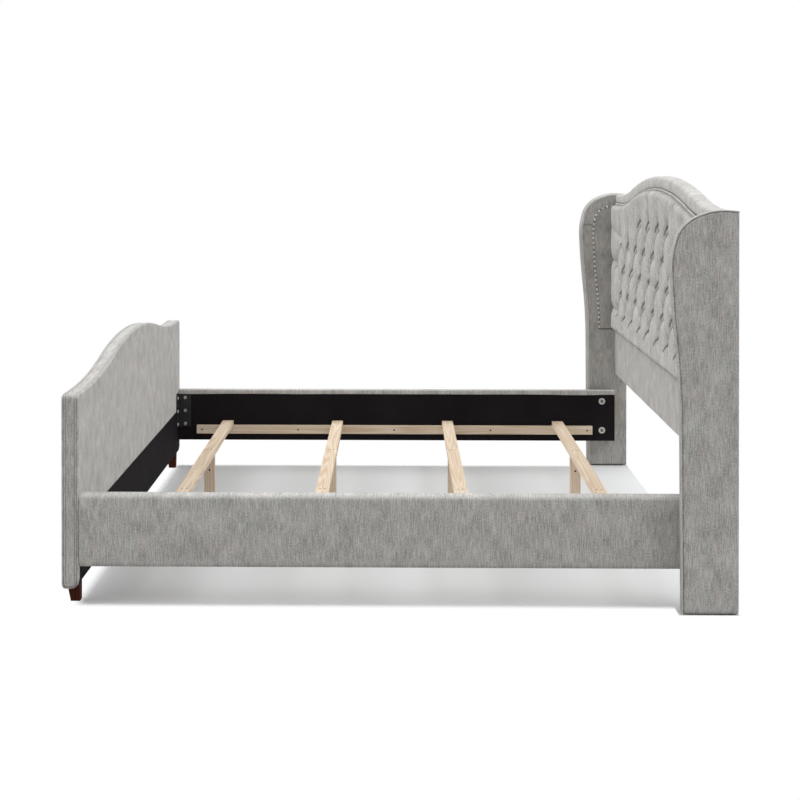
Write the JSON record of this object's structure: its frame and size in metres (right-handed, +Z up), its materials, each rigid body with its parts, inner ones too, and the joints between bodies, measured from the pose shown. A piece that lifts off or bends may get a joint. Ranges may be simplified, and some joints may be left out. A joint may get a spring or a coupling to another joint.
{
  "type": "panel bed",
  "caption": "Upholstered wingback panel bed: diamond-tufted camelback headboard, nail-trimmed wings, low camelback footboard, padded side rails and legged pine slats.",
  "frame": {"origin": "on the floor, in the middle of the bed's length and width", "axes": "+X from the foot to the head, +Y from the right side to the left side as seen from the foot, +Z up"},
  "size_m": [2.17, 2.1606, 1.38],
  "materials": {
    "upholstery": "matt woven chenille",
    "welt": "matt woven, cord filled",
    "lining": "matt non-woven",
    "panel_board": "raw plywood",
    "frame_pine": "raw sawn pine",
    "slat_pine": "raw planed pine",
    "leg_wood": "dark satin stain",
    "nailhead_metal": "polished nickel",
    "bright_steel": "zinc plated",
    "black_steel": "satin black",
    "screw_steel": "dark phosphate",
    "glide_plastic": "matt"
  },
  "bodies": {
    "root": {"headboard_border": "upholstery", "headboard_lower_pad": "upholstery", "tufted_pad": "upholstery", "wing_inner_panel_left": "upholstery", "wing_inner_panel_right": "upholstery", "wing_inset_panel_left": "upholstery", "wing_inset_panel_right": "upholstery", "wing_outer_panel_left": "upholstery", "wing_outer_panel_right": "upholstery", "wing_edge_band_left": "upholstery", "wing_edge_band_right": "upholstery", "rail_cover_left": "upholstery", "rail_cover_right": "upholstery", "footboard_inner_pad": "upholstery", "footboard_outer_pad": "upholstery", "footboard_edge_band": "upholstery", "headboard_welt": "welt", "wing_welts_left": "welt", "wing_welts_right": "welt", "footboard_welts": "welt", "rail_lining_left": "lining", "rail_lining_right": "lining", "footboard_lining": "lining", "headboard_back_cover": "lining", "headboard_panel": "panel_board", "footboard_panel": "panel_board", "wing_core_left": "panel_board", "wing_core_right": "panel_board", "headboard_post_left": "frame_pine", "headboard_post_right": "frame_pine", "headboard_bottom_rail": "frame_pine", "headboard_top_rail": "frame_pine", "rail_board_left": "frame_pine", "rail_board_right": "frame_pine", "cleat_left": "slat_pine", "cleat_right": "slat_pine", "slat_1": "slat_pine", "slat_2": "slat_pine", "slat_3": "slat_pine", "slat_4": "slat_pine", "slat_1_legs": "slat_pine", "slat_2_legs": "slat_pine", "slat_3_legs": "slat_pine", "slat_4_legs": "slat_pine", "footboard_leg_left": "leg_wood", "footboard_leg_right": "leg_wood", "nailheads_left": "nailhead_metal", "nailheads_right": "nailhead_metal", "rail_washers": "bright_steel", "rail_bolts": "bright_steel", "bracket_bolts": "bright_steel", "wing_bolts": "bright_steel", "leg_bolts": "bright_steel", "corner_bracket_left": "black_steel", "corner_bracket_right": "black_steel", "cleat_screws": "screw_steel", "slat_screws": "screw_steel", "slat_leg_screws": "screw_steel", "wing_glides": "glide_plastic"}
  },
  "joints": []
}
